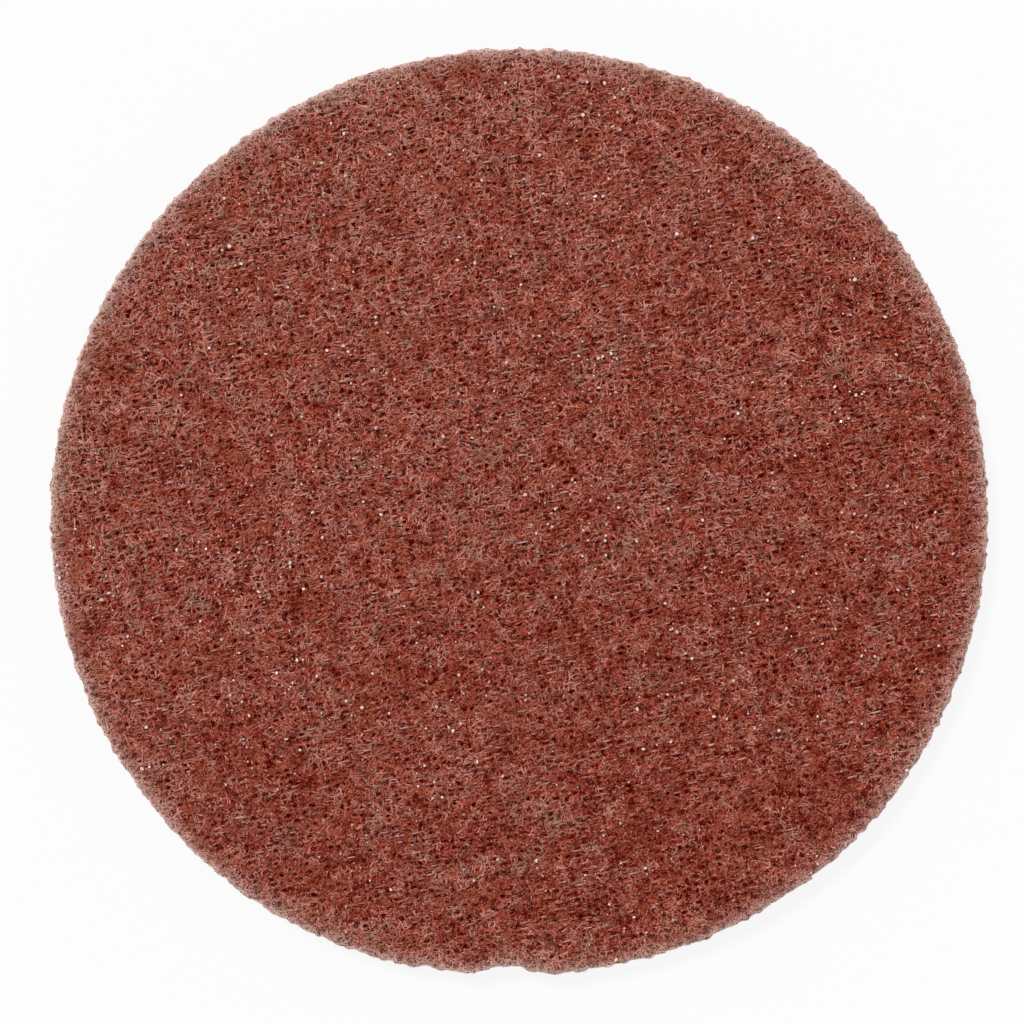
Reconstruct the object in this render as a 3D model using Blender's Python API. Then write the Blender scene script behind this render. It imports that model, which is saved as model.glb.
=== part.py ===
# A hook-and-loop surface conditioning disc without a centre hole, lying on its back.
# It is one piece: a nonwoven web of crimped nylon fibre, needled through a plain-woven scrim,
# bonded with resin and mineral and die-cut from the sheet. The working face is up (+Z), the flat
# back that a hooked pad grips is at Z = 0, and the origin is the middle of the back.
import math

import bmesh
import bpy
import numpy as np
from mathutils import Vector

# Driving dimensions, in metres and degrees
disc_diameter = 0.115
web_thickness = 0.005
work_edge_radius = 0.0010      # the working face rolls over at the die-cut rim
back_edge_radius = 0.0004

scrim_pitch = 0.00079          # from thread to thread
scrim_angle = 11.6             # the threads run this far round from +X
thread_rise = 0.00016          # a bare thread lifts the face by this much
thread_end_reach = 0.00007     # the cut thread ends stand out of the rim
cover_wavelength = 0.021       # the fibre that covers the scrim comes and goes over this length

loft_height = 0.00014          # the web is thicker and thinner by this much
loft_wavelength = 0.034
loft_section = 0.0160          # the length of the straight stretches along a thread

flat_depth = 0.00080           # the rim is cut short along one stretch
flat_middle = 277.0
flat_half_angle = 45.0
oval_amount = 0.00013          # the rest of the rim is this far from round
oval_direction = 11.0

torn_middle = 269.2            # a torn bite in the short stretch of the rim
# The torn edge, left to right: distance along the rim, and depth below the true circle
torn_edge = (
    (-0.0112, 0.00086), (-0.0096, 0.00082), (-0.0082, 0.00086), (-0.0071, 0.00062),
    (-0.0064, 0.00098), (-0.0056, 0.00097), (-0.0049, 0.00078), (-0.0042, 0.00124),
    (-0.0027, 0.00172), (-0.0012, 0.00190), (-0.0001, 0.00220), (0.0011, 0.00192),
    (0.0018, 0.00150), (0.0025, 0.00131), (0.0032, 0.00140), (0.0041, 0.00112),
    (0.0052, 0.00092), (0.0069, 0.00066), (0.0081, 0.00086), (0.0097, 0.00100),
    (0.0121, 0.00086), (0.0139, 0.00090),
)
cutter_margin = 0.002          # the cutter passes the faces and the rim by this much

round_steps = 3                # rings in the rolled working edge
falloff_power = 6              # how near the rim the threads follow its shape

web_colour = (0.238, 0.059, 0.039, 1.0)
web_roughness = 0.85

disc_radius = disc_diameter / 2
face_radius = disc_radius - work_edge_radius


def clear_scene():
    for thing in list(bpy.data.objects):
        bpy.data.objects.remove(thing, do_unlink=True)


def new_collection(name):
    collection = bpy.data.collections.new(name)
    bpy.context.scene.collection.children.link(collection)
    return collection


def web_material():
    material = bpy.data.materials.new("resin_bonded_web")
    material.use_nodes = True
    shader = material.node_tree.nodes["Principled BSDF"]
    shader.inputs["Base Color"].default_value = web_colour
    shader.inputs["Roughness"].default_value = web_roughness
    shader.inputs["Metallic"].default_value = 0.0
    material.diffuse_color = web_colour
    return material


def turn_to_threads(angle):
    return angle - math.radians(scrim_angle)


def short_stretch(angle):
    """How far the rim falls inside the circle where it was cut short."""
    middle = math.radians(flat_middle)
    off = (angle - middle + math.pi) % math.tau - math.pi
    share = off / math.radians(flat_half_angle)
    return flat_depth * (1 - share**2) ** 2 if abs(share) < 1 else 0.0


def thread_ends(angle):
    """The cut ends of the threads make low bumps along the rim, one at each thread."""
    across = face_radius * math.sin(turn_to_threads(angle))
    return thread_end_reach * math.cos(math.tau * across / scrim_pitch)


def rim_radius(angle):
    """The outline of the disc, seen from above."""
    oval = oval_amount * math.cos(2 * (angle - math.radians(oval_direction)))
    return disc_radius + oval - short_stretch(angle)


def loft(x, y):
    """The slow rise and fall of the web's thickness."""
    turn = math.tau / loft_wavelength
    waves = math.sin(turn * x + 0.6) * math.cos(turn * y - 0.9)
    waves += 0.6 * math.sin(0.55 * turn * (x + y) + 2.1)
    return loft_height * waves / 1.6


def bareness(x, y):
    """How bare the scrim lies, from 0 under thick fibre to 1 where the threads show."""
    turn = math.tau / cover_wavelength
    waves = math.sin(turn * x + 1.7 * math.sin(0.6 * turn * y))
    waves += math.sin(1.3 * turn * y + 1.4 * math.cos(0.7 * turn * x) + 0.8)
    return 0.5 + 0.25 * waves


def place_on_face(along, across):
    """Turns a point of the thread grid to the disc's axes and fits it to the rim's shape."""
    reach = math.hypot(along, across)
    angle = math.atan2(across, along) + math.radians(scrim_angle)
    short = (rim_radius(angle) - disc_radius) / disc_radius
    reach *= 1 + short * (reach / face_radius) ** falloff_power
    return reach * math.cos(angle), reach * math.sin(angle)


def woven_face(mesh):
    """The working face as a grid: a row on each thread and one between each two."""
    half_pitch = scrim_pitch / 2
    chords = 2 * int((face_radius - half_pitch) / half_pitch) + 1
    rows = chords + 1
    columns = max(4, round(2 * face_radius / loft_section))
    grid = bmesh.ops.create_grid(mesh, x_segments=columns, y_segments=rows, size=1.0)
    last_chord = (chords - 1) / 2 * half_pitch
    cap_angle = 0.8 * math.acos(last_chord / face_radius)
    for corner in grid["verts"]:
        row = round((corner.co.y + 1) / 2 * rows)
        share = corner.co.x
        step = row - rows / 2
        if row in (0, rows):
            across = math.copysign(face_radius * math.cos(share * cap_angle), step)
            along = face_radius * math.sin(share * cap_angle)
        else:
            across = step * half_pitch
            along = share * math.sqrt(face_radius**2 - across**2)
        x, y = place_on_face(along, across)
        on_thread = 0.5 + 0.5 * math.cos(math.tau * across / scrim_pitch)
        z = web_thickness + loft(x, y) + thread_rise * bareness(x, y) * on_thread
        corner.co = Vector((x, y, z))


def add_ring(mesh, edges, inset, height=None, drop=0.0):
    """Extrudes the rim's edges to a ring that lies inset from the outline."""
    grown = bmesh.ops.extrude_edge_only(mesh, edges=edges)["geom"]
    for corner in (part for part in grown if isinstance(part, bmesh.types.BMVert)):
        angle = math.atan2(corner.co.y, corner.co.x)
        radius = rim_radius(angle) + thread_ends(angle) - inset
        level = corner.co.z - drop if height is None else height
        corner.co = Vector((radius * math.cos(angle), radius * math.sin(angle), level))
    return [part for part in grown if isinstance(part, bmesh.types.BMEdge) and part.is_boundary]


def disc_body(material):
    mesh = bmesh.new()
    woven_face(mesh)
    edges = [edge for edge in mesh.edges if edge.is_boundary]
    for step in range(round_steps):
        before = math.pi / 2 * step / round_steps
        after = math.pi / 2 * (step + 1) / round_steps
        inset = work_edge_radius * (1 - math.sin(after))
        drop = work_edge_radius * (math.cos(before) - math.cos(after))
        edges = add_ring(mesh, edges, inset, drop=drop)
    edges = add_ring(mesh, edges, 0.0, height=back_edge_radius)
    edges = add_ring(mesh, edges, back_edge_radius, height=0.0)
    bmesh.ops.contextual_create(mesh, geom=edges)
    bmesh.ops.recalc_face_normals(mesh, faces=mesh.faces)
    data = bpy.data.meshes.new("surface_conditioning_disc")
    mesh.to_mesh(data)
    mesh.free()
    data.materials.append(material)
    data.shade_smooth()
    data.set_sharp_from_angle(angle=math.radians(50))
    return bpy.data.objects.new("surface_conditioning_disc", data)


def point_at_rim(along_rim, radius):
    angle = math.radians(torn_middle) + along_rim / disc_radius
    return radius * math.cos(angle), radius * math.sin(angle)


def torn_bite():
    """A flat curve round the material that tore away, as thick as the disc and a little more."""
    torn = [point_at_rim(along, disc_radius - depth) for along, depth in torn_edge]
    outside = disc_radius + cutter_margin
    arc = np.linspace(torn_edge[-1][0], torn_edge[0][0], 9)
    outer = [point_at_rim(along, outside) for along in arc]
    outline = torn + outer
    curve = bpy.data.curves.new("torn_bite", "CURVE")
    curve.dimensions = "2D"
    curve.fill_mode = "BOTH"
    curve.extrude = web_thickness / 2 + cutter_margin
    spline = curve.splines.new("POLY")
    spline.points.add(len(outline) - 1)
    for point, (x, y) in zip(spline.points, outline):
        point.co = (x, y, 0.0, 1.0)
    spline.use_cyclic_u = True
    shape = bpy.data.objects.new("torn_bite_outline", curve)
    shape.location.z = web_thickness / 2
    return shape


def as_mesh_cutter(shape, collection):
    """A curve can't cut, so its solid is made a closed mesh."""
    collection.objects.link(shape)
    graph = bpy.context.evaluated_depsgraph_get()
    data = bpy.data.meshes.new_from_object(shape.evaluated_get(graph))
    welded = bmesh.new()
    welded.from_mesh(data)
    bmesh.ops.remove_doubles(welded, verts=welded.verts, dist=1e-6)
    bmesh.ops.recalc_face_normals(welded, faces=welded.faces)
    welded.to_mesh(data)
    welded.free()
    cutter = bpy.data.objects.new("torn_bite_cutter", data)
    cutter.matrix_world = shape.matrix_world
    cutter.hide_render = True
    cutter.display_type = "WIRE"
    collection.objects.link(cutter)
    bpy.data.objects.remove(shape, do_unlink=True)
    return cutter


def main():
    clear_scene()
    parts = new_collection("surface_conditioning_disc")
    cutters = new_collection("cutters")
    disc = disc_body(web_material())
    parts.objects.link(disc)
    bite = as_mesh_cutter(torn_bite(), cutters)
    cut = disc.modifiers.new("torn bite", "BOOLEAN")
    cut.operation = "DIFFERENCE"
    cut.object = bite


main()
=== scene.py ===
import math

import bpy
import numpy as np
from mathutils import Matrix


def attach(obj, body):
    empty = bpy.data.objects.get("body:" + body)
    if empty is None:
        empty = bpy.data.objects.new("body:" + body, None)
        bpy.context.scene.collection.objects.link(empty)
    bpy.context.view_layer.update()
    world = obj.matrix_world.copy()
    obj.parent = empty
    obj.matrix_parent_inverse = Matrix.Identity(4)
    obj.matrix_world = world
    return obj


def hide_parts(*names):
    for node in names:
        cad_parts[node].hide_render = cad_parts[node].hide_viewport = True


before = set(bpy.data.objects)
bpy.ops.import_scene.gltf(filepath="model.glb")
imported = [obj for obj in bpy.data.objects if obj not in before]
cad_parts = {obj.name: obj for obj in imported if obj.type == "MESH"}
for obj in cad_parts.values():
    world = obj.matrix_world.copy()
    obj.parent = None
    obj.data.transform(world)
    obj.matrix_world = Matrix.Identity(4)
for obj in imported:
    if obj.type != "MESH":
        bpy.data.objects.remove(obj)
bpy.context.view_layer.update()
bpy.ops.object.select_all(action="DESELECT")
print("frame loaded")

# Lengths below are in millimetres, and mm turns them into the scene's metres
mm = 0.001
tau = math.tau
repeats = 97                       # the random squares come round again after this many

disc = {
    "node": "surface_conditioning_disc",
    "slot": "bonded_web",
    "thickness": 5.0,
    "rollRadius": 1.0,             # the working face rolls over at the rim
    "backEdge": 0.4,
    "loftHeight": 0.14,            # the web's slow rise and fall, as the solid has it
    "loftWavelength": 34.0,
    "coverWavelength": 21.0,       # where the scrim comes to the surface, as the solid has it
    "ragged": 0.56,                # how uneven the cut rim is, in bumps of this size
    "raggedSize": 0.8,
    "rimFade": 0.60,               # the cut rim's paler look, partly worn nylon and partly painted sheen, fades over this depth
    "paintedRimLight": (0.70, 1.2, 0.16, 3.0),   # painted light: how much lighter the fibres near it are, and over what depth
    "rimUneven": (0.85, 0.28),     # how much of that falls all round, and how much more on one side
    "rimTowards": 120.0,           # degrees to the middle of that side
    "paintedLightSlope": (-0.0012, 0.0018),    # painted light: how much lighter the fibres get for each millimetre to the right and up
}

scrim = {
    "pitch": 0.79,
    "mainAngle": 11.6,             # the threads that show most
    "crossAngle": 94.0,
}


# The rim and the face of the solid

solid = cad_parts[disc["node"]]


def measureRim(steps=2880, outside=0.2):
    # the solid's reach in every direction at half its height, torn bite and all, by rays from outside it
    angles = np.linspace(0, tau, steps, endpoint=False)
    reaches = []
    for angle in angles:
        outward = (math.cos(angle), math.sin(angle), 0)
        start = (outside * outward[0], outside * outward[1], disc["thickness"] / 2 * mm)
        place = solid.ray_cast(start, (-outward[0], -outward[1], 0))[1]
        reaches.append(math.hypot(place.x, place.y) / mm)
    return angles, np.array(reaches)


rimAngles, rimReaches = measureRim()
print("rim measured:", rimReaches.min(), "to", rimReaches.max(), "mm")


def rimReach(angle):
    return np.interp(angle % tau, rimAngles, rimReaches, period=tau)


def raggedReach(angle):
    # the rim with the bumps and notches of its cut fibres
    reach = rimReach(angle)
    bumps = patches(reach * np.cos(angle), reach * np.sin(angle), disc["raggedSize"], 51)
    return reach + disc["ragged"] * (bumps - 0.5)


def depthInRim(x, y):
    # how far inside the rim a place lies
    return rimReach(np.arctan2(y, x)) - np.hypot(x, y)


def faceHeight(x, y):
    # the working face, with its slow rise and fall and the roll at the rim
    turn = tau / disc["loftWavelength"]
    waves = np.sin(turn * x + 0.6) * np.cos(turn * y - 0.9)
    waves = waves + 0.6 * np.sin(0.55 * turn * (x + y) + 2.1)
    level = disc["thickness"] + disc["loftHeight"] * waves / 1.6
    roll = disc["rollRadius"]
    off = np.clip(roll - depthInRim(x, y), 0, roll)
    return level - roll + np.sqrt(roll**2 - off**2)


def bareness(x, y):
    # 0 where the fibre lies thick, 1 where the scrim shows through it
    turn = tau / disc["coverWavelength"]
    waves = np.sin(turn * x + 1.7 * np.sin(0.6 * turn * y))
    waves = waves + np.sin(1.3 * turn * y + 1.4 * np.cos(0.7 * turn * x) + 0.8)
    return 0.5 + 0.25 * waves


def rimWearAndSheen(x, y, inset=0.0):
    # how far the pale look of the cut rim, partly worn nylon and partly painted sheen, reaches in, from 1 at
    # the rim
    return np.exp(-np.clip(depthInRim(x, y) - inset, 0, 9) / disc["rimFade"])


def paintedLightSide(angle):
    # painted light: the rim is painted lighter on one side
    even, uneven = disc["rimUneven"]
    return even + uneven * np.cos(angle - math.radians(disc["rimTowards"]))


def paintedRimLight(x, y):
    # painted light: how much lighter the fibres are painted near the rim, and towards the upper left of the
    # disc
    depth = np.clip(depthInRim(x, y), 0, 30)
    near, nearFade, far, farFade = disc["paintedRimLight"]
    light = near * np.exp(-depth / nearFade) + far * np.exp(-depth / farFade)
    return paintedLightSide(np.arctan2(y, x)) * light + disc["paintedLightSlope"][0] * x + disc["paintedLightSlope"][1] * y


def patches(x, y, size, seed):
    # soft random patches about size across, from 0 to 1
    lattice = np.random.default_rng(seed).random((repeats, repeats))
    u, v = x / size, y / size
    column, row = np.floor(u).astype(int), np.floor(v).astype(int)
    across, up = u - column, v - row
    across, up = across * across * (3 - 2 * across), up * up * (3 - 2 * up)

    def alongRow(row):
        row = row % repeats
        return lattice[row, column % repeats] * (1 - across) + lattice[row, (column + 1) % repeats] * across

    return alongRow(row) * (1 - up) + alongRow(row + 1) * up


# Materials

class Wire:
    # a socket, on which Python's operators add Math nodes
    def __init__(self, paint, socket):
        self.paint = paint
        self.socket = socket

    def __add__(self, other):
        return self.paint.maths("ADD", self, other)

    def __radd__(self, other):
        return self.paint.maths("ADD", other, self)

    def __sub__(self, other):
        return self.paint.maths("SUBTRACT", self, other)

    def __rsub__(self, other):
        return self.paint.maths("SUBTRACT", other, self)

    def __mul__(self, other):
        return self.paint.maths("MULTIPLY", self, other)

    def __rmul__(self, other):
        return self.paint.maths("MULTIPLY", other, self)


curls = {
    "turn": 2.39996,               # radians from one layer of painted strands to the next
    "stretch": (0.7, 1.5, 1.0),
    "shift": (7.1, 3.3),           # from one layer to the next
}


class Paint:
    # a new material and the nodes that are put in it
    def __init__(self, name, roughness=0.5):
        self.material = bpy.data.materials.new(name)
        self.material.use_nodes = True
        self.tree = self.material.node_tree
        self.shader = self.tree.nodes["Principled BSDF"]
        self.shader.inputs["Roughness"].default_value = roughness

    def node(self, kind, settings=None, values=None, out=0):
        made = self.tree.nodes.new("ShaderNode" + kind)
        for key, value in (settings or {}).items():
            if key == "stops":
                self.setStops(made.color_ramp, value)
            else:
                setattr(made, key, value)
        for key, value in (values or {}).items():
            self.feed(made.inputs[key], value)
        return Wire(self, made.outputs[out])

    def setStops(self, ramp, stops):
        while len(ramp.elements) < len(stops):
            ramp.elements.new(1.0)
        for element, (place, colour) in zip(ramp.elements, stops):
            element.position = place
            element.color = (*colour, 1.0)

    def feed(self, socket, value):
        if isinstance(value, Wire):
            self.tree.links.new(value.socket, socket)
        else:
            socket.default_value = value

    def maths(self, operation, first, second):
        return self.node("Math", {"operation": operation}, {0: first, 1: second})

    def set(self, socketName, value):
        self.feed(self.shader.inputs[socketName], value)

    # short names for what every web material needs
    def places(self):
        # the piece's own coordinates, in millimetres
        own = self.node("TexCoord", out="Object")
        return self.node("VectorMath", {"operation": "SCALE"}, {0: own, "Scale": 1 / mm})

    def noise(self, places, scale, detail=2.0):
        return self.node("TexNoise", None, {"Vector": places, "Scale": scale, "Detail": detail})

    def ramp(self, value, stops):
        return self.node("ValToRGB", {"stops": stops}, {0: value})

    def mix(self, share, first, second):
        return self.node("Mix", {"data_type": "RGBA"}, {0: share, 6: first, 7: second}, 2)

    def cover(self, colour, share, tint):
        # the colour with a plain tint over it
        return self.mix(share, colour, (*tint, 1.0))

    def spread(self, value, low, high, to=(0.0, 1.0)):
        # value from low to high becomes to[0] to to[1], with soft ends
        settings = {"interpolation_type": "SMOOTHSTEP"}
        return self.node("MapRange", settings, {0: value, 1: low, 2: high, 3: to[0], 4: to[1]})

    def strands(self, places, number, scale, lines, edges):
        # thin curls, drawn as the contour lines of a noise: 1 on a strand, and 0 beside it
        turned = self.turned(places, curls["turn"] * number)
        shift = (curls["shift"][0] * number, curls["shift"][1] * number, 0.0)
        inputs = {0: turned, 1: curls["stretch"], 2: shift}
        drawn = self.node("VectorMath", {"operation": "MULTIPLY_ADD"}, inputs)
        wave = self.noise(drawn, scale, 0.0) * lines
        return self.spread(self.maths("PINGPONG", wave, 0.5), *edges)

    def turned(self, places, angle):
        return self.node("VectorRotate", {"rotation_type": "Z_AXIS"}, {"Vector": places, "Angle": angle})

    def attribute(self, name):
        return self.node("Attribute", {"attribute_name": name}, None, "Fac")

    def setBump(self, height, strength, distance):
        bump = self.node("Bump", None, {"Strength": strength, "Distance": distance * mm, "Height": height})
        self.set("Normal", bump)


pitPaint = {
    "wander": 0.92,                # how far the pits stray from the scrim's own squares
    "length": 0.70,                # their squares to the length of the thread
    "large": (1.0, -0.09, 0.40),   # how many to a square each way, and the least and the most radius
    "small": (2.0, -0.14, 0.30),
    "ragged": 1.0,                 # how uneven their edges are, and how finely
    "raggedScale": 4.5,
    "softness": 0.07,
}


def pitsOfSize(paint, squares, ragged, scale, least, most):
    away = paint.node("TexVoronoi", {"voronoi_dimensions": "2D"},
                      {"Vector": squares, "Scale": scale, "Randomness": pitPaint["wander"]}, "Distance")
    chance = Wire(paint, away.socket.node.outputs["Color"])
    radius = paint.node("SeparateColor", None, {0: chance}) * (most - least) + least
    return paint.spread(away + ragged - radius, pitPaint["softness"], -pitPaint["softness"])


def fibrePits(paint, places):
    # painted shade: dark pits where the web is open, about one in each square of the scrim, and smaller ones
    turned = paint.turned(places, -math.radians(scrim["mainAngle"]))
    squares = paint.node("VectorMath", {"operation": "MULTIPLY"},
                         {0: turned, 1: (pitPaint["length"] / scrim["pitch"], 1 / scrim["pitch"], 0.0)})
    ragged = (paint.noise(places, pitPaint["raggedScale"], 1.0) - 0.5) * pitPaint["ragged"]
    large = pitsOfSize(paint, squares, ragged, *pitPaint["large"])
    small = pitsOfSize(paint, squares, ragged, *pitPaint["small"])
    return paint.maths("MAXIMUM", large, small)


webPaint = {
    "roughness": 0.9,
    # painted shade: gap and deep are the dark of the shade deep in the web, and pore the near-black in its
    # holes
    "gap": (0.110, 0.0015, 0.0007),
    "deep": (0.160, 0.0050, 0.0022),
    "pore": (0.075, 0.0008, 0.0004),
    # the rim's pale colour, partly worn nylon and partly painted sheen
    "rim": (0.620, 0.3600, 0.3000),
    "rimWearAndSheen": 0.6,
    # the strands that lie in the body, from the lowest to the highest
    "strands": (
        (0.260, 0.0220, 0.0110), (0.340, 0.0450, 0.0240), (0.300, 0.0360, 0.0180),
        (0.430, 0.0900, 0.0540), (0.360, 0.0600, 0.0340), (0.500, 0.1400, 0.0900),
    ),
    "strandScale": 0.75,
    "strandsInWave": 5.0,
    "strandEdges": (0.21, 0.12),   # where a strand fades out, and where it is full
    "mottleScale": 0.35,
    "threadWaves": (0.8, 0.35),    # how much the main and the crossing threads close the holes
    "openness": (0.9, 7.0),        # scale and strength of the patches that are more open
    "holeEdges": (-0.2, -1.4),
    "holeStrength": 0.85,
    "faceEdges": (0.34, 0.10),     # where the rim's look gives way to the face's
    "gapScale": 1.9,               # painted shade in the gaps between the fibres of the wall
    "gapEdges": (0.46, 0.58),
    "gapStrength": 0.85,
    "bump": (3.0, 0.8, 0.1),       # scale, strength and depth
}


def webMaterial():
    paint = Paint("bonded web", webPaint["roughness"])
    paint.set("Specular IOR Level", 0.0)
    places = paint.places()
    mottle = paint.noise(places, webPaint["mottleScale"], 3.0)
    colour = paint.ramp(mottle, [(0.35, webPaint["gap"]), (0.65, webPaint["deep"])])

    # thin curled strands across one another, each layer turned round and drawn over the last
    for number, tint in enumerate(webPaint["strands"]):
        strand = paint.strands(
            places, number, webPaint["strandScale"], webPaint["strandsInWave"], webPaint["strandEdges"])
        colour = paint.cover(colour, strand, tint)

    # painted shade: the holes between the scrim's threads are painted darkest
    split = paint.node("SeparateXYZ", None, {0: places})
    x, y = split, Wire(paint, split.socket.node.outputs[1])
    main, cross = math.radians(scrim["mainAngle"]), math.radians(scrim["crossAngle"])
    acrossMain = y * math.cos(main) - x * math.sin(main)
    acrossCross = x * math.sin(cross) - y * math.cos(cross)
    mainWave = paint.maths("COSINE", acrossMain * (tau / scrim["pitch"]), 0.0) * webPaint["threadWaves"][0]
    crossWave = paint.maths("COSINE", acrossCross * (tau / scrim["pitch"]), 0.0) * webPaint["threadWaves"][1]
    scale, strength = webPaint["openness"]
    openness = paint.noise(places, scale, 3.0) * strength - strength / 2
    hole = paint.spread(mainWave + crossWave + openness, *webPaint["holeEdges"])

    # they stay off the wall, where they would run down it as stripes, and it has painted shade in gaps of
    # its own
    edge = paint.attribute("edge")
    onFace = paint.spread(edge, *webPaint["faceEdges"])
    holes = paint.maths("MAXIMUM", hole * webPaint["holeStrength"], fibrePits(paint, places)) * onFace
    gaps = paint.spread(paint.noise(places, webPaint["gapScale"], 2.0), *webPaint["gapEdges"]) * (1 - onFace)
    colour = paint.cover(colour, holes + gaps * webPaint["gapStrength"], webPaint["pore"])
    # the rim's pale look, partly worn nylon and partly painted sheen
    colour = paint.cover(colour, edge * webPaint["rimWearAndSheen"], webPaint["rim"])
    paint.set("Base Color", colour)
    scale, strength, depth = webPaint["bump"]
    paint.setBump(paint.noise(places, scale, 2.0), strength, depth)
    return paint.material


fibrePaint = {
    "hairs": (-0.20, 0.17, -0.17, 0.17, -0.15, 0.16),   # finer hairs on the fibres, darker and lighter
    "hairScale": 1.0,
    "hairsInWave": 6.0,
    "hairEdges": (0.22, 0.12),
    "resin": (2.4, 0.7),           # scale and strength of its lighter and darker places
    "fine": (7.0, 0.5),
    # from the fibres deep in the web and over open pores, in painted shade, to those on top and near the
    # rim, in painted light
    "shades": (
        (0.00, (0.140, 0.0012, 0.0005)),
        (0.20, (0.240, 0.0110, 0.0042)),
        (0.40, (0.380, 0.0550, 0.0280)),
        (0.55, (0.492, 0.1150, 0.0705)),
        (0.70, (0.602, 0.1830, 0.1230)),
        (0.85, (0.700, 0.2700, 0.2000)),
        (1.00, (0.820, 0.4000, 0.3250)),
    ),
    "red": (0.420, 0.0260, 0.0100),
    "redScale": 2.2,
    "redEdges": (0.62, 0.74),
    "redStrength": 0.3,
    "tan": (0.560, 0.3200, 0.2350),
    "brown": (0.500, 0.1300, 0.0600),
    # painted shade: the near-black of the pits
    "pit": (0.095, 0.0008, 0.0004),
    # the rim's pale colour, partly worn nylon and partly painted sheen
    "edge": (1.000, 0.7600, 0.6800),
    "edgeOverPits": 0.7,           # how far the rim's look fills the pits
    "roughness": (0.42, 0.7),
    "bump": (9.0, 0.4, 0.02),      # scale, strength and depth
}


def fibreMaterial():
    paint = Paint("crimped fibre")
    paint.set("Specular IOR Level", 0.0)
    places = paint.places()
    resin = paint.noise(places, fibrePaint["resin"][0], 2.0)
    fine = paint.noise(places, fibrePaint["fine"][0], 1.0)
    shade = paint.attribute("shade") + (resin - 0.5) * fibrePaint["resin"][1]
    shade = shade + (fine - 0.5) * fibrePaint["fine"][1]
    for number, step in enumerate(fibrePaint["hairs"], len(webPaint["strands"]) + 1):
        hair = paint.strands(
            places, number, fibrePaint["hairScale"], fibrePaint["hairsInWave"], fibrePaint["hairEdges"])
        shade = shade + hair * step
    colour = paint.ramp(shade, fibrePaint["shades"])

    # here and there the resin is thicker and redder
    thick = paint.spread(paint.noise(places, fibrePaint["redScale"], 1.0), *fibrePaint["redEdges"])
    colour = paint.cover(colour, thick * fibrePaint["redStrength"], fibrePaint["red"])
    hue = paint.attribute("hue")
    colour = paint.cover(colour, paint.spread(hue, 0.1, 1.0) * shade, fibrePaint["tan"])
    colour = paint.cover(colour, paint.spread(hue, -0.1, -1.0) * shade, fibrePaint["brown"])
    # the rim's pale look, partly worn nylon and partly painted sheen
    edge = paint.attribute("edge")
    colour = paint.cover(colour, edge, fibrePaint["edge"])
    # painted shade in the pits, less where the rim's pale look fills them
    pits = fibrePits(paint, places) * paint.attribute("pits") * (1 - edge * fibrePaint["edgeOverPits"])
    colour = paint.cover(colour, pits, fibrePaint["pit"])
    paint.set("Base Color", colour)
    paint.set("Roughness", paint.spread(resin, 0.3, 0.7, fibrePaint["roughness"]))
    scale, strength, depth = fibrePaint["bump"]
    paint.setBump(paint.noise(places, scale, 2.0), strength, depth)
    return paint.material


threadPaint = {
    "roughness": 0.6,
    "shades": (
        (0.00, (0.350, 0.090, 0.058)),
        (0.45, (0.520, 0.250, 0.195)),
        (1.00, (0.740, 0.470, 0.400)),
    ),
    "resin": (1.1, 0.9),           # scale and strength of its lighter and darker places
    "bump": (7.0, 0.6, 0.03),      # scale, strength and depth
}


def threadMaterial():
    paint = Paint("scrim thread", threadPaint["roughness"])
    paint.set("Specular IOR Level", 0.08)
    places = paint.places()
    scale, strength = threadPaint["resin"]
    shade = paint.attribute("shade") + (paint.noise(places, scale, 3.0) - 0.5) * strength
    paint.set("Base Color", paint.ramp(shade, threadPaint["shades"]))
    scale, strength, depth = threadPaint["bump"]
    paint.setBump(paint.noise(places, scale, 1.0), strength, depth)
    return paint.material


grainPaint = {
    "clear": (1.00, 0.77, 0.70),
    "coated": (0.30, 0.12, 0.10),
    "roughness": (0.08, 0.3),
    "roughnessScale": 5.0,
}


def grainMaterial():
    paint = Paint("mineral grain")
    paint.set("Specular IOR Level", 0.8)
    colour = paint.mix(paint.attribute("clear"), (*grainPaint["coated"], 1.0), (*grainPaint["clear"], 1.0))
    paint.set("Base Color", colour)
    rough = paint.noise(paint.places(), grainPaint["roughnessScale"], 1.0)
    paint.set("Roughness", paint.spread(rough, 0.3, 0.7, grainPaint["roughness"]))
    return paint.material


# Meshes

def readPoints(piece):
    flat = np.empty(len(piece.data.vertices) * 3)
    piece.data.vertices.foreach_get("co", flat)
    return flat.reshape(-1, 3)


def writePoints(piece, points):
    piece.data.vertices.foreach_set("co", np.ascontiguousarray(points, dtype=np.float32).ravel())
    piece.data.update()


def selectFaces(piece, wanted):
    # into edit mode, with only the wanted faces selected
    bpy.ops.object.mode_set(mode="EDIT")
    bpy.ops.mesh.select_mode(type="FACE")
    bpy.ops.mesh.select_all(action="DESELECT")
    bpy.ops.object.mode_set(mode="OBJECT")
    for face in piece.data.polygons:
        face.select = wanted(face)
    bpy.ops.object.mode_set(mode="EDIT")


def seat(piece, material):
    piece.data.name = piece.name
    piece.data.materials.clear()
    piece.data.materials.append(material)
    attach(piece, "root")
    print(piece.name, "has", sum(len(face.vertices) - 2 for face in piece.data.polygons), "triangles")


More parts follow.
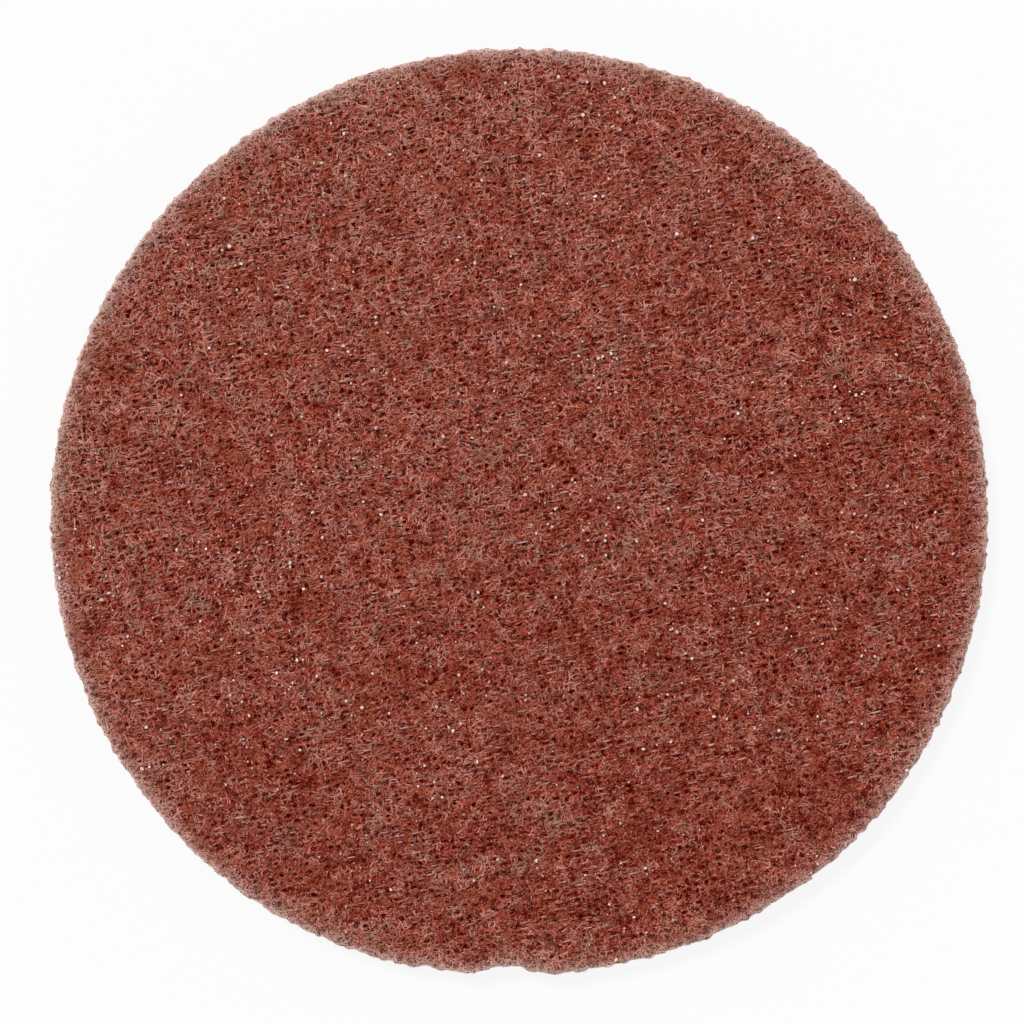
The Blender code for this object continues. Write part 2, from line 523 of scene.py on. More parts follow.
def newPiece(name, places, faces, material, **attributes):
    mesh = bpy.data.meshes.new(name)
    mesh.vertices.add(len(places))
    mesh.vertices.foreach_set("co", (places * mm).astype(np.float32).ravel())
    mesh.loops.add(faces.size)
    mesh.loops.foreach_set("vertex_index", faces.astype(np.int32).ravel())
    mesh.polygons.add(len(faces))
    mesh.polygons.foreach_set("loop_start", np.arange(0, faces.size, faces.shape[1], dtype=np.int32))
    mesh.update(calc_edges=True)
    mesh.shade_smooth()
    for key, values in attributes.items():
        attribute = mesh.attributes.new(key, "FLOAT", "POINT")
        attribute.data.foreach_set("value", values.astype(np.float32).ravel())
    piece = bpy.data.objects.new(name, mesh)
    bpy.context.scene.collection.objects.link(piece)
    seat(piece, material)
    return piece


def takePattern(piece):
    # the points and faces of a small piece that is copied many times
    pattern = {
        "points": readPoints(piece),
        "faces": np.array([face.vertices[:] for face in piece.data.polygons]),
    }
    bpy.data.objects.remove(piece, do_unlink=True)
    return pattern


def strandPattern(stations, sides=3):
    # a straight strand up +Z, one unit from station to station, drawn to a point at both ends
    bpy.ops.object.select_all(action="DESELECT")
    bpy.ops.mesh.primitive_cone_add(vertices=sides, radius1=0, radius2=1, depth=1, location=(0, 0, 0.5))
    strand = bpy.context.object
    bpy.ops.object.transform_apply(location=True, rotation=True, scale=True)
    selectFaces(strand, lambda face: face.normal.z > 0.9)
    for station in range(stations - 2):
        bpy.ops.mesh.extrude_region_move(TRANSFORM_OT_translate={"value": (0, 0, 1)})
    bpy.ops.mesh.merge(type="CENTER")
    bpy.ops.mesh.select_all(action="SELECT")
    bpy.ops.mesh.quads_convert_to_tris()
    bpy.ops.object.mode_set(mode="OBJECT")
    return takePattern(strand)


def bendCopies(pattern, paths, thickness):
    # a copy of the pattern for each path, bent along it
    station = np.rint(pattern["points"][:, 2]).astype(int)
    section = pattern["points"][:, :2]
    along = np.gradient(paths, axis=1)
    along /= np.linalg.norm(along, axis=2, keepdims=True) + 1e-9
    side = np.cross(along, (0.0, 0.0, 1.0))
    side /= np.linalg.norm(side, axis=2, keepdims=True) + 1e-6
    over = np.cross(along, side)
    half = thickness[:, None, None] / 2
    out = section[:, :1] * side[:, station] + section[:, 1:] * over[:, station]
    places = paths[:, station] + half * out
    first = np.arange(len(paths))[:, None, None] * len(station)
    faces = pattern["faces"][None] + first
    return places.reshape(-1, 3), faces.reshape(-1, 3), len(station)


# The web's body

body = {
    "name": "web_body",
    "cells": 200,                  # squares from side to side of the working face
    "sink": 0.30,                  # it lies this far inside the face, and the fibres fill it out
    "wallSink": 0.20,
    "backSink": 0.12,
    "rollRings": 5,
    "wallRings": 9,
    "loftReach": 0.97,             # the wall takes its loft from this share of the way out
    "tuftSize": 0.9,
    "tuftHeight": 0.12,
    "lumpSize": 3.2,
    "lumpHeight": 0.10,
    "wallEdge": 0.35,              # how much of the rim's paler look the wall has
    "fill": 0.85,                  # the web gives a little under the hand
}


def extrudeRing(scale, fall):
    bpy.ops.mesh.extrude_region_move(TRANSFORM_OT_translate={"value": (0, 0, -fall * mm)})
    bpy.ops.transform.resize(value=(scale, scale, 1), center_override=(0, 0, 0))


def displace(piece, name, size, height):
    texture = bpy.data.textures.new(name, "CLOUDS")
    texture.noise_scale = size * mm
    texture.noise_depth = 1
    wave = piece.modifiers.new(name, "DISPLACE")
    wave.texture = texture
    wave.texture_coords = "LOCAL"
    wave.direction = "NORMAL"
    wave.strength = height * mm
    wave.mid_level = 0.5
    bpy.ops.object.modifier_apply(modifier=name)


def webBody(material):
    bpy.ops.object.select_all(action="DESELECT")
    bpy.ops.mesh.primitive_grid_add(x_subdivisions=body["cells"], y_subdivisions=body["cells"], size=2)
    piece = bpy.context.object
    piece.name = body["name"]
    # the square grid is drawn out to a disc, and then to the rim's own outline
    points = readPoints(piece)
    x = points[:, 0] * np.sqrt(1 - points[:, 1] ** 2 / 2)
    y = points[:, 1] * np.sqrt(1 - points[:, 0] ** 2 / 2)
    angle, share = np.arctan2(y, x), np.hypot(x, y)
    reach = share * (rimReach(angle) - body["wallSink"] - disc["rollRadius"])
    x, y = reach * np.cos(angle), reach * np.sin(angle)
    writePoints(piece, np.column_stack((x, y, faceHeight(x, y) - body["sink"])) * mm)

    # the rolled edge, the wall and the back edge are extruded from the face's border
    bpy.ops.object.mode_set(mode="EDIT")
    bpy.ops.mesh.select_mode(type="EDGE")
    bpy.ops.mesh.select_all(action="DESELECT")
    bpy.ops.mesh.select_non_manifold()
    wide = rimReaches.mean() - body["wallSink"]
    roll = disc["rollRadius"]
    now = wide - roll
    for ring in range(body["rollRings"]):
        before, after = (math.pi / 2 * (ring + more) / body["rollRings"] for more in (0, 1))
        goal = wide - roll * (1 - math.sin(after))
        extrudeRing(goal / now, roll * (math.cos(before) - math.cos(after)))
        now = goal
    wall = disc["thickness"] - body["sink"] - body["backSink"] - roll - disc["backEdge"]
    for ring in range(body["wallRings"]):
        extrudeRing(1.0, wall / body["wallRings"])
    extrudeRing((wide - disc["backEdge"]) / wide, disc["backEdge"])
    bpy.ops.mesh.edge_face_add()
    bpy.ops.mesh.select_all(action="SELECT")
    bpy.ops.mesh.normals_make_consistent(inside=False)
    bpy.ops.object.mode_set(mode="OBJECT")

    # the wall takes up the face's rise and fall, so that the back is flat
    points = readPoints(piece) / mm
    loft = faceHeight(*(body["loftReach"] * points[:, :2]).T) - disc["thickness"]
    top = disc["thickness"] - body["sink"] - roll
    share = np.clip((top + loft - points[:, 2]) / (top - body["backSink"]), 0, 1)
    points[:, 2] -= share * loft
    writePoints(piece, points * mm)
    displace(piece, "tufts", body["tuftSize"], body["tuftHeight"])
    displace(piece, "lumps", body["lumpSize"], body["lumpHeight"])
    points = readPoints(piece) / mm
    low = points[:, 2] < body["backSink"] + disc["backEdge"] / 2
    points[low, 2] = body["backSink"]
    writePoints(piece, points * mm)
    piece.data.shade_smooth()
    # the rim's pale look, partly worn nylon and partly painted sheen, strongest high on the roll
    edge = rimWearAndSheen(points[:, 0], points[:, 1], body["wallSink"])
    edge = edge * (body["wallEdge"] + (1 - body["wallEdge"]) * np.clip((points[:, 2] - top) / roll, 0, 1))
    attribute = piece.data.attributes.new("edge", "FLOAT", "POINT")
    attribute.data.foreach_set("value", edge.astype(np.float32))
    seat(piece, material)
    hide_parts(disc["node"])


webBody(webMaterial())


# The crimped fibres

fibre = {
    "layers": (
        # name, height of a fibre's middle over the face, lengths, thickness,
        # how far it goes round the pores, how much lighter it is painted, and how far the painted dark pits
        # show on it
        # painted light: the deeper layers are painted lighter to make up for the shade they lie in, and the
        # top ones darker for the fuller light they get
        ("fibres_bottom", (-0.28, -0.16), (0.9, 2.0), (0.150, 0.240), 0.90, 0.30, 0.9),
        ("fibres_deep", (-0.22, -0.10), (0.9, 2.0), (0.130, 0.210), 0.90, 0.24, 0.9),
        ("fibres_low", (-0.16, -0.04), (0.8, 1.9), (0.090, 0.150), 0.85, 0.17, 0.9),
        ("fibres_under", (-0.10, 0.02), (0.8, 1.9), (0.065, 0.110), 0.75, 0.08, 0.75),
        ("fibres_middle", (-0.04, 0.08), (0.8, 1.9), (0.050, 0.080), 0.60, 0.00, 0.55),
        ("fibres_upper", (0.01, 0.12), (1.0, 2.6), (0.038, 0.062), 0.50, -0.11, 0.3),
        ("fibres_over", (0.05, 0.17), (1.2, 3.0), (0.034, 0.055), 0.40, -0.16, 0.0),
    ),
    "perLayer": 16400,
    "stations": 4,
    "shade": 0.60,
    "shadeSpread": 0.11,
    "hueSpread": 0.12,             # between orange-brown fibres and tan ones
    "huePatches": ((0.8, 0.5), (1.4, 1.4), (3.6, 0.9)),   # size, strength
    "mottles": ((0.8, 0.52), (1.7, 0.42), (4.4, 0.08)),   # lighter and darker patches: size, strength
    "paintedShadeRise": 0.10,             # painted shade: how much lighter a fibre is painted for each millimetre higher up, darker lower in the web
    "riseEnds": (-0.45, 0.30),     # and the heights over the face between which that holds
    "paintedPoreShade": 0.40,             # painted shade: how much darker it is painted over an open pore
    "curl": 0.30,                  # how fast a fibre turns, in radians for a millimetre
    "crimp": 0.25,                 # how far its crimps turn it, in radians
    "crimpLength": (1.2, 3.0),
    "dive": 0.30,                  # its ends go this far into the web
    "tries": 5,                    # turns tried for each, of which the one clearest of the pores is kept
    "margin": 0.05,                # its ends stay this far inside the rim
    "stray": 0.32,                 # apart from a few, which may pass it by this
}

pore = {
    "radius": (-0.06, 0.38),       # of the hole between two threads each way; under 0 it is closed
    "shiftAcross": 0.13,           # off the middle, across the main threads and along them
    "shiftAlong": 0.30,
    "wander": 0.85,                # how far the holes stray from their rows, in patches of this size
    "wanderSize": 1.5,
    "stretch": 1.40,
    "barer": 0.12,                 # how much wider the holes are in some places, in patches of this size
    "barerSize": 2.9,
    "influence": 0.45,             # fibres this near are pushed aside
}


def nearestPore(x, y):
    # the way from the nearest hole of the weave, across the main threads and along them, and its radius
    draw = np.random.default_rng(33)
    radii = draw.uniform(*pore["radius"], (repeats, repeats))
    shifts = draw.uniform(-1, 1, (2, repeats, repeats))
    strayX = pore["wander"] * (patches(x, y, pore["wanderSize"], 21) - 0.5)
    strayY = pore["wander"] * (patches(x, y, pore["wanderSize"], 22) - 0.5)
    radius = pore["barer"] * (patches(x, y, pore["barerSize"], 12) - 0.5)
    x, y = x + strayX, y + strayY
    main, cross = math.radians(scrim["mainAngle"]), math.radians(scrim["crossAngle"])
    acrossMain = (y * math.cos(main) - x * math.sin(main)) / scrim["pitch"]
    acrossCross = (x * math.sin(cross) - y * math.cos(cross)) / scrim["pitch"]
    row, column = np.floor(acrossMain).astype(int), np.floor(acrossCross).astype(int)
    cell = (row % repeats, column % repeats)
    up = (acrossMain - row - 0.5) * scrim["pitch"] - shifts[0][cell] * pore["shiftAcross"]
    over = (acrossCross - column - 0.5) * scrim["pitch"] - shifts[1][cell] * pore["shiftAlong"]
    return up, over, np.clip(radii[cell] + radius, 0.001, 1)


def poreDepth(x, y):
    # how far inside an open pore a place lies, as a share of its width; under 0 outside
    up, over, radius = nearestPore(x, y)
    return 1 - np.hypot(up, over / pore["stretch"]) / radius


def aroundPores(x, y, aside):
    # places near an open pore are pushed out of it
    up, over, radius = nearestPore(x, y)
    off = np.hypot(up, over / pore["stretch"])
    push = aside * radius * np.clip(1 - off / pore["influence"], 0, 1) / (off + 0.03)
    main, cross = math.radians(scrim["mainAngle"]), math.radians(scrim["crossAngle"])
    x = x + push * (over * math.sin(cross) - up * math.sin(main))
    y = y + push * (up * math.cos(main) - over * math.cos(cross))
    return x, y


def curledPaths(draw, count, stations, lengths):
    # flat curled lines about the origin, as x and y from end to end
    length = draw.uniform(*lengths, count)[:, None]
    share = np.linspace(-0.5, 0.5, stations)[None]
    run = share * length
    heading = draw.uniform(0, tau, count)[:, None] + draw.normal(0, fibre["curl"], count)[:, None] * run
    wave = draw.uniform(*fibre["crimpLength"], count)[:, None]
    heading = heading + fibre["crimp"] * np.sin(tau * run / wave + draw.uniform(0, tau, count)[:, None])
    middle = (heading[:, 1:] + heading[:, :-1]) / 2
    step = length / (stations - 1)
    x = np.concatenate((np.zeros((count, 1)), np.cumsum(np.cos(middle) * step, axis=1)), axis=1)
    y = np.concatenate((np.zeros((count, 1)), np.cumsum(np.sin(middle) * step, axis=1)), axis=1)
    return x - x.mean(axis=1, keepdims=True), y - y.mean(axis=1, keepdims=True), share


def endsDown(share, depth):
    # how far a strand goes into the web along its length, from 0 at its middle to depth at its ends
    return np.abs(2 * share) ** 4 * depth


def placesOnDisc(draw, count, margin):
    angle = draw.uniform(0, tau, count)
    reach = np.sqrt(draw.uniform(0, 1, count)) * (rimReach(angle) - margin)
    return reach * np.cos(angle), reach * np.sin(angle)


def keepInside(x, y, margin):
    # what passes the rim is drawn back to it
    angle, reach = np.arctan2(y, x), np.hypot(x, y)
    reach = np.minimum(reach, raggedReach(angle) - margin)
    return reach * np.cos(angle), reach * np.sin(angle)


def fibreMarks(places, middleX, middleY, tone, hue, each):
    # each point's shade, with painted shade lower down and over open pores and painted light near the rim,
    # its hue, and its share of the rim's paler look
    x, y = places[:, 0], places[:, 1]
    lift = np.clip(places[:, 2] - faceHeight(x, y), *fibre["riseEnds"])
    paintedPoreShadow = np.clip(poreDepth(x, y), 0, 1) * fibre["paintedPoreShade"]
    shade = np.repeat(tone, each) + fibre["paintedShadeRise"] * lift - paintedPoreShadow + paintedRimLight(x, y)
    for number, (size, strength) in enumerate(fibre["huePatches"]):
        hue = hue + strength * (patches(middleX, middleY, size, 24 + number) - 0.5)
    return {"shade": shade, "hue": np.repeat(hue, each), "edge": rimWearAndSheen(x, y)}


def faceFibres(material, seed, name, height, lengths, thickness, aside, paintedLight, pits):
    draw = np.random.default_rng(seed)
    count, stations, tries = fibre["perLayer"], fibre["stations"], fibre["tries"]
    x, y, share = curledPaths(draw, count * tries, stations, lengths)
    middleX, middleY = placesOnDisc(draw, count, 0.1)
    x, y = x + np.repeat(middleX, tries)[:, None], y + np.repeat(middleY, tries)[:, None]
    x, y = aroundPores(x, y, aside)
    betweenX, betweenY = (x[:, 1:] + x[:, :-1]) / 2, (y[:, 1:] + y[:, :-1]) / 2
    crossed = np.clip(poreDepth(np.hstack((x, betweenX)), np.hstack((y, betweenY))), 0, 1).sum(axis=1)
    best = crossed.reshape(count, tries).argmin(axis=1) + np.arange(count) * tries
    margin = fibre["margin"] - fibre["stray"] * draw.uniform(0, 1, (count, 1)) ** 8
    x, y = keepInside(x[best], y[best], margin)
    rise = draw.uniform(*height, count)[:, None]
    z = faceHeight(x, y) + rise - endsDown(share, fibre["dive"])
    thickness = draw.uniform(*thickness, count)
    places, faces, each = bendCopies(strandPattern(stations), np.stack((x, y, z), axis=2), thickness)
    tone = fibre["shade"] + paintedLight + draw.normal(0, fibre["shadeSpread"], count)
    for number, (size, strength) in enumerate(fibre["mottles"]):
        tone = tone + strength * (patches(middleX, middleY, size, 14 + number) - 0.5)
    hue = draw.normal(0, fibre["hueSpread"], count)
    marks = fibreMarks(places, middleX, middleY, tone, hue, each)
    newPiece(name, places, faces, material, pits=np.full(len(places), pits), **marks)


fibreCoat = fibreMaterial()
for number, layer in enumerate(fibre["layers"]):
    faceFibres(fibreCoat, 40 + number, *layer)


# The scrim's threads, where they come to the surface

thread = {
    "stations": 6,
    "lengths": (0.7, 1.8),         # of one stretch that shows
    "gap": 1.58,                   # from the start of one to the next, give or take this
    "gapSpread": 0.4,
    "thickness": (0.16, 0.25),
    "wander": 0.13,                # off its own line
    "sway": (0.05, 0.9),           # how far it sways from side to side, and how fast
    "shown": (0.66, 0.97),         # a main and a crossing stretch show with a score over this
    "local": 2.6,                  # it shows in patches of this size
    "scores": (0.45, 0.55, 0.12),  # for a bare place, for its patch, and for chance
    "rise": 0.05,                  # over and under the crossing threads
    "lift": -0.01,                 # over the face, give or take these
    "liftSpread": (-0.06, 0.10),
    "dive": 0.4,
    "shade": 0.24,
    "shadeSpread": 0.22,
}


def scrimThreads(name, angle, parity, material, seed):
    draw = np.random.default_rng(seed)
    pattern = strandPattern(thread["stations"])
    reach = rimReaches.max()
    lines = int(reach / scrim["pitch"])
    starts = np.arange(-reach, reach, thread["gap"])
    line, start = np.meshgrid(np.arange(-lines, lines + 1), starts, indexing="ij")
    line = line.ravel()
    start = start.ravel() + draw.uniform(-thread["gapSpread"], thread["gapSpread"], line.size)
    share = np.linspace(0, 1, thread["stations"])[None]
    along = start[:, None] + share * draw.uniform(*thread["lengths"], line.size)[:, None]
    across = line[:, None] * scrim["pitch"] + draw.normal(0, thread["wander"], line.size)[:, None]
    across = across + thread["sway"][0] * np.sin(along * thread["sway"][1] + line[:, None])
    turn = math.radians(angle)
    x = along * math.cos(turn) - across * math.sin(turn)
    y = along * math.sin(turn) + across * math.cos(turn)
    middle = thread["stations"] // 2
    bare = bareness(x[:, middle], y[:, middle])
    local = patches(x[:, middle], y[:, middle], thread["local"], 11 + parity)
    forBare, forLocal, chance = thread["scores"]
    score = forBare * bare + forLocal * local + draw.normal(0, chance, line.size)
    keep = (score > thread["shown"][parity]) & (depthInRim(x, y).min(axis=1) > 0.0)
    line, along, x, y = line[keep], along[keep], x[keep], y[keep]
    share = np.repeat(share, len(x), axis=0)
    # over one crossing thread and under the next, as in any plain weave
    other = math.radians(scrim["crossAngle"] if parity == 0 else scrim["mainAngle"])
    crossing = (x * math.sin(other) - y * math.cos(other)) / scrim["pitch"]
    over = np.cos(math.pi * (crossing + line[:, None] + parity))
    lift = thread["lift"] + draw.uniform(*thread["liftSpread"], len(x))[:, None]
    z = faceHeight(x, y) + lift + thread["rise"] * over - endsDown(share - 0.5, thread["dive"])
    thickness = draw.uniform(*thread["thickness"], len(x))
    places, faces, each = bendCopies(pattern, np.stack((x, y, z), axis=2), thickness)
    tone = np.repeat(draw.normal(thread["shade"], thread["shadeSpread"], len(x)), each)
    newPiece(name, places, faces, material, shade=tone)


threadCoat = threadMaterial()
scrimThreads("scrim_main_threads", scrim["mainAngle"], 0, threadCoat, 61)
scrimThreads("scrim_cross_threads", scrim["crossAngle"], 1, threadCoat, 62)


# Mineral grains

grains = {
    "clusters": 140,
    "perCluster": 6,
    "clusterSize": 3.0,
    "loose": 900,
    "clearSize": (0.21, 0.51),     # the small ones are the most common
    "coatedSize": (0.10, 0.24),
    "clearness": (0.75, 1.0),
    "coatedness": (0.0, 0.4),
    "stretch": (0.5, 1.3),
    "lift": (0.05, 0.15),          # over the face, and how much more a clear one has
    "clearLift": 0.20,
    "margins": (2.5, 0.5),         # how far inside the rim the clusters' middles and the grains stay
}


def grainPattern():
    bpy.ops.object.select_all(action="DESELECT")
    bpy.ops.mesh.primitive_ico_sphere_add(subdivisions=1, radius=0.5)
    grain = bpy.context.object
    bpy.ops.object.mode_set(mode="EDIT")
    bpy.ops.mesh.select_all(action="SELECT")
    bpy.ops.mesh.bisect(plane_co=(0.22, 0.1, 0.1), plane_no=(0.8, 0.3, 0.5), use_fill=True, clear_outer=True)
    bpy.ops.mesh.select_all(action="SELECT")
    bpy.ops.mesh.bisect(
        plane_co=(-0.2, -0.15, 0), plane_no=(-0.7, -0.6, 0.1), use_fill=True, clear_outer=True)
    bpy.ops.mesh.select_all(action="SELECT")
    bpy.ops.mesh.quads_convert_to_tris()
    bpy.ops.object.mode_set(mode="OBJECT")
    return takePattern(grain)


def randomTurns(draw, count):
    # evenly spread rotations, as count matrices
    turns = np.linalg.qr(draw.normal(size=(count, 3, 3)))[0]
    turns[np.linalg.det(turns) < 0] *= -1
    return turns


def mineralGrains(material):
    draw = np.random.default_rng(71)
    pattern = grainPattern()
    bright = grains["clusters"] * grains["perCluster"]
    middleMargin, margin = grains["margins"]
    middleX, middleY = placesOnDisc(draw, grains["clusters"], middleMargin)
    looseX, looseY = placesOnDisc(draw, grains["loose"], margin)
    x = np.repeat(middleX, grains["perCluster"]) + draw.normal(0, grains["clusterSize"], bright)
    y = np.repeat(middleY, grains["perCluster"]) + draw.normal(0, grains["clusterSize"], bright)
    x, y = keepInside(np.concatenate((x, looseX)), np.concatenate((y, looseY)), margin)
    clear = draw.uniform(*grains["clearness"], bright)
    clear = np.concatenate((clear, draw.uniform(*grains["coatedness"], grains["loose"])))
    small, large = grains["clearSize"]
    size = small + (large - small) * draw.uniform(0, 1, bright) ** 2
    size = np.concatenate((size, draw.uniform(*grains["coatedSize"], grains["loose"])))
    stretch = draw.uniform(*grains["stretch"], (len(x), 1, 3))
    turns = randomTurns(draw, len(x))
    z = faceHeight(x, y) + draw.uniform(*grains["lift"], len(x)) + grains["clearLift"] * clear
    local = pattern["points"][None] * stretch * size[:, None, None]
    places = np.einsum("nij,nvj->nvi", turns, local) + np.stack((x, y, z), axis=1)[:, None]
    faces = pattern["faces"][None] + np.arange(len(x))[:, None, None] * len(pattern["points"])
    clear = np.repeat(clear, len(pattern["points"]))
    piece = newPiece("mineral_grains", places.reshape(-1, 3), faces.reshape(-1, 3), material, clear=clear)
    for face in piece.data.polygons:
        face.use_smooth = False


mineralGrains(grainMaterial())


# Fibres on the rolled rim, on the cut wall and on the back

rimFibre = {
    "stations": 4,
    "tried": 12000,                # more of them are kept on the side with more painted light
    "depth": 0.75,
    "lengths": (0.6, 1.5),
    "height": (0.00, 0.14),        # over the face
    "thickness": (0.040, 0.080),
    "margin": 0.03,
    "dive": 0.15,
    # painted light: the rim's fibres are painted lighter
    "paintedLight": 0.40,
    "pits": 0.85,
}


def rimFibres(material):
    draw = np.random.default_rng(101)
    count = rimFibre["tried"]
    x, y, share = curledPaths(draw, count, rimFibre["stations"], rimFibre["lengths"])
    angle = draw.uniform(0, tau, count)
    reach = rimReach(angle) - draw.exponential(rimFibre["depth"], count)
    keep = draw.uniform(0, 1.1, count) < paintedLightSide(angle)
    middleX, middleY = (reach * np.cos(angle))[keep], (reach * np.sin(angle))[keep]
    x, y = keepInside(x[keep] + middleX[:, None], y[keep] + middleY[:, None], rimFibre["margin"])
    count = len(x)
    rise = draw.uniform(*rimFibre["height"], count)[:, None]
    z = faceHeight(x, y) + rise - endsDown(share, rimFibre["dive"])
    thickness = draw.uniform(*rimFibre["thickness"], count)
    pattern = strandPattern(rimFibre["stations"])
    places, faces, each = bendCopies(pattern, np.stack((x, y, z), axis=2), thickness)
    tone = draw.normal(fibre["shade"] + rimFibre["paintedLight"], fibre["shadeSpread"], count)
    hue = draw.normal(0, fibre["hueSpread"], count)
    marks = fibreMarks(places, middleX, middleY, tone, hue, each)
    newPiece("fibres_rim", places, faces, material, pits=np.full(len(places), rimFibre["pits"]), **marks)


wallFibre = {
    "stations": 4,
    "count": 14000,
    "lengths": (0.9, 2.2),
    "low": 0.15,                   # the lowest middle of one, and the lowest point
    "lowest": 0.07,
    "flat": 0.7,                   # they run more along the wall than up it
    "lift": (-0.18, 0.07),         # out of the wall
    "dive": 0.35,                  # how far in their ends go
    "thickness": (0.055, 0.120),
    "tone": (0.56, 0.20),
    "paintedShadeLift": 1.1,               # painted shade: how much lighter one is painted for each millimetre further out, darker further into the wall
    "toneRim": 0.4,                # how much of the painted rim light they have
    "pale": (0.1, 0.8),            # their share of the rim's paler look, partly worn nylon and partly painted sheen
    "paleLift": 2.0,
    "paleFoot": 0.40,              # what is left of it lower on the wall
}


def wallFibres(material):
    draw = np.random.default_rng(81)
    count = wallFibre["count"]
    run, rise, share = curledPaths(draw, count, wallFibre["stations"], wallFibre["lengths"])
    roll, thick, back = disc["rollRadius"], disc["thickness"], disc["backEdge"]
    low, high = wallFibre["low"], thick - roll * 0.5
    z = rise * wallFibre["flat"] + draw.uniform(low, high, count)[:, None]
    z = np.clip(z, wallFibre["lowest"], high + 0.3)
    angle = draw.uniform(0, tau, count)[:, None] + run / rimReaches.mean()
    lift = draw.uniform(*wallFibre["lift"], count)[:, None]
    out = lift - endsDown(share, lift + wallFibre["dive"])

    # the top of the wall leans in with the roll, and the foot with the back edge
    over = np.clip(z - (thick - roll), 0, roll)
    under = np.clip(back - z, 0, back)
    lean = roll - np.sqrt(roll**2 - over**2) + back - np.sqrt(back**2 - under**2)
    reach = raggedReach(angle) - lean + out
    paths = np.stack((reach * np.cos(angle), reach * np.sin(angle), z), axis=2)
    thickness = draw.uniform(*wallFibre["thickness"], count)
    places, faces, each = bendCopies(strandPattern(wallFibre["stations"]), paths, thickness)

    # painted shade deeper in the wall, and painted rim light
    tone = draw.normal(*wallFibre["tone"], count) + wallFibre["paintedShadeLift"] * lift[:, 0]
    tone = np.repeat(tone, each) + wallFibre["toneRim"] * paintedRimLight(places[:, 0], places[:, 1])
    up = np.clip((z.mean(axis=1) - (thick - 1.6 * roll)) / roll, 0, 1)
    pale = np.clip(draw.uniform(*wallFibre["pale"], count) + wallFibre["paleLift"] * lift[:, 0], 0, 1)
    edge = np.repeat(pale * (wallFibre["paleFoot"] + (1 - wallFibre["paleFoot"]) * up), each)
    newPiece("fibres_wall", places, faces, material, shade=tone, hue=tone * 0, edge=edge, pits=tone * 0)


backFibre = {
    "stations": 4,
    "count": 8000,
    "lengths": (1.4, 3.2),
    "margin": 0.6,                 # from the rim to the middle of one
    "height": (0.055, 0.13),
    "dive": 0.2,                   # how far up into the web its ends go
    "thickness": (0.060, 0.105),
    "tone": (0.55, 0.16),
    "pits": 0.5,
}


def backFibres(material):
    draw = np.random.default_rng(91)
    count = backFibre["count"]
    x, y, share = curledPaths(draw, count, backFibre["stations"], backFibre["lengths"])
    middleX, middleY = placesOnDisc(draw, count, backFibre["margin"])
    x, y = keepInside(x + middleX[:, None], y + middleY[:, None], disc["backEdge"])
    z = draw.uniform(*backFibre["height"], count)[:, None] + endsDown(share, backFibre["dive"])
    thickness = draw.uniform(*backFibre["thickness"], count)
    pattern = strandPattern(backFibre["stations"])
    places, faces, each = bendCopies(pattern, np.stack((x, y, z), axis=2), thickness)
    tone = np.repeat(draw.normal(*backFibre["tone"], count), each)
    pits = tone * 0 + backFibre["pits"]
    newPiece("fibres_back", places, faces, material, shade=tone, hue=tone * 0, edge=tone * 0, pits=pits)


rimFibres(fibreCoat)
wallFibres(fibreCoat)
backFibres(fibreCoat)


# The table, the light and the camera

studio = {
    "floorSize": 3000.0,
    "floorWhite": 0.82,
    "floorGlow": 0.88,             # how much of the floor is plain white to the camera
    "skyStrength": 0.55,
    "sunStrength": 1.75,
    "sunAngle": 14.0,
    "sunFrom": (-0.42, 0.50, 1.0),
}


def tableTop():
    bpy.ops.object.select_all(action="DESELECT")
    bpy.ops.mesh.primitive_plane_add(size=studio["floorSize"] * mm)
    floor = bpy.context.object
    floor.name = "table_top"
    paint = Paint("pale table", 0.9)
    paint.set("Base Color", (studio["floorWhite"],) * 3 + (1.0,))
    white = paint.node("Emission", None, {"Color": (1.0, 1.0, 1.0, 1.0), "Strength": 1.0})
    seen = paint.node("LightPath", None, None, "Is Camera Ray") * studio["floorGlow"]
    both = paint.node("MixShader", None, {0: seen, 2: white})
    mixer = both.socket.node
    paint.tree.links.new(paint.shader.outputs[0], mixer.inputs[1])
    paint.tree.links.new(both.socket, paint.tree.nodes["Material Output"].inputs["Surface"])
    floor.data.materials.append(paint.material)


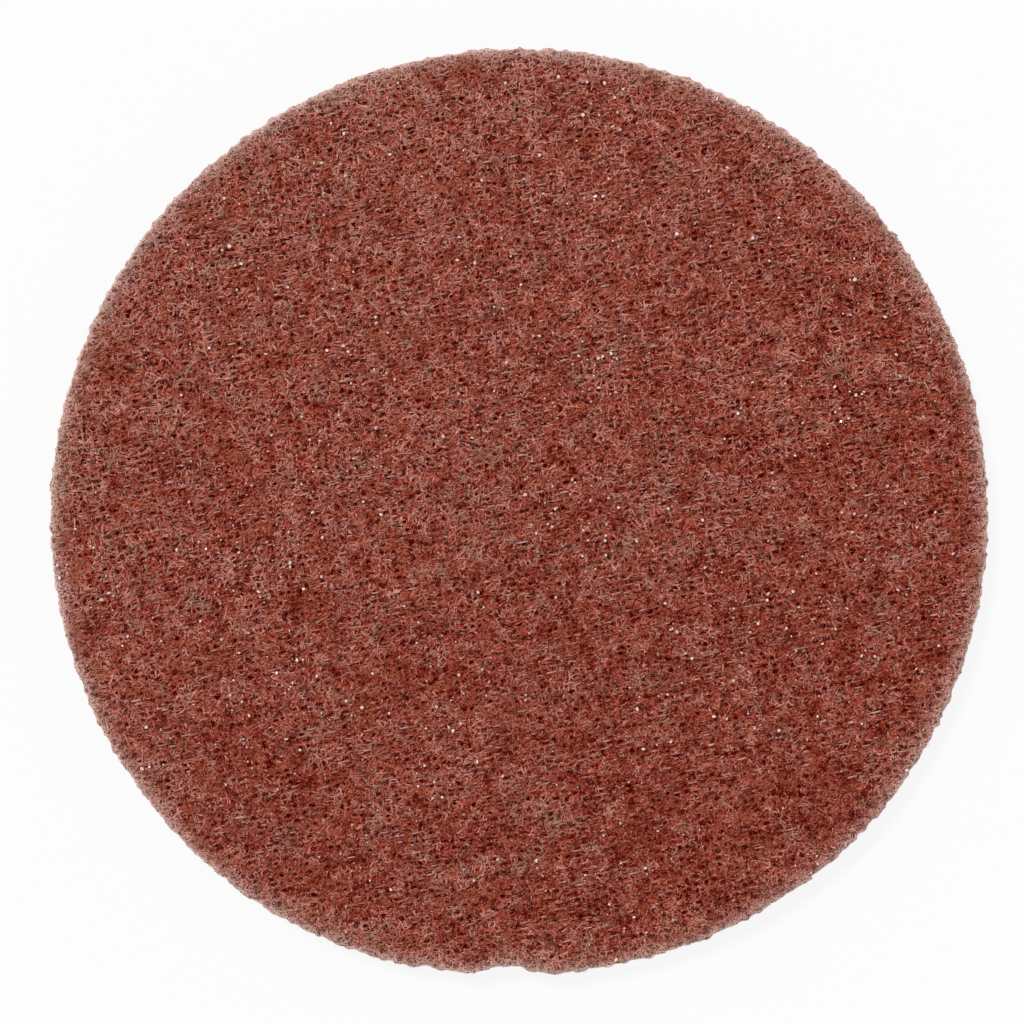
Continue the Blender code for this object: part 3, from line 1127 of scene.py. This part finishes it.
def skyAndSun():
    world = bpy.data.worlds.new("studio")
    world.use_nodes = True
    bpy.context.scene.world = world
    tree = world.node_tree
    ground = tree.nodes["Background"]
    ground.inputs["Color"].default_value = (1.0, 1.0, 1.0, 1.0)
    ground.inputs["Strength"].default_value = studio["skyStrength"]
    white = tree.nodes.new("ShaderNodeBackground")
    white.inputs["Color"].default_value = (1.0, 1.0, 1.0, 1.0)
    white.inputs["Strength"].default_value = 1.0
    rays = tree.nodes.new("ShaderNodeLightPath")
    mixer = tree.nodes.new("ShaderNodeMixShader")
    tree.links.new(rays.outputs["Is Camera Ray"], mixer.inputs[0])
    tree.links.new(ground.outputs[0], mixer.inputs[1])
    tree.links.new(white.outputs[0], mixer.inputs[2])
    tree.links.new(mixer.outputs[0], tree.nodes["World Output"].inputs[0])
    bpy.ops.object.light_add(type="SUN", location=studio["sunFrom"])
    sun = bpy.context.object
    sun.data.energy = studio["sunStrength"]
    sun.data.angle = math.radians(studio["sunAngle"])
    sun.rotation_mode = "QUATERNION"
    sun.rotation_quaternion = sun.location.to_track_quat("Z", "Y")


camera = {
    "lens": 100.0,
    "sensor": 36.0,
    "pixelsAcross": 1024,
    "discMiddle": (519.2, 515.3),  # the disc's middle in the photograph
    "discReach": 467.7,            # its radius there, in pixels
    "discRadius": 57.5,
    "rimLevel": 4.2,               # the height of the disc's widest part
}


def addCamera():
    pixel = camera["discRadius"] / camera["discReach"]
    half = camera["pixelsAcross"] / 2
    x = (half - camera["discMiddle"][0]) * pixel
    y = (camera["discMiddle"][1] - half) * pixel
    distance = camera["pixelsAcross"] * pixel * camera["lens"] / camera["sensor"]
    place = (x * mm, y * mm, (distance + camera["rimLevel"]) * mm)
    bpy.ops.object.camera_add(location=place, rotation=(0, 0, 0))
    eye = bpy.context.object
    eye.data.lens = camera["lens"]
    eye.data.sensor_width = camera["sensor"]
    eye.data.clip_start = 10 * mm
    bpy.context.scene.camera = eye


tableTop()
skyAndSun()
addCamera()
bpy.context.scene.view_settings.view_transform = "Standard"
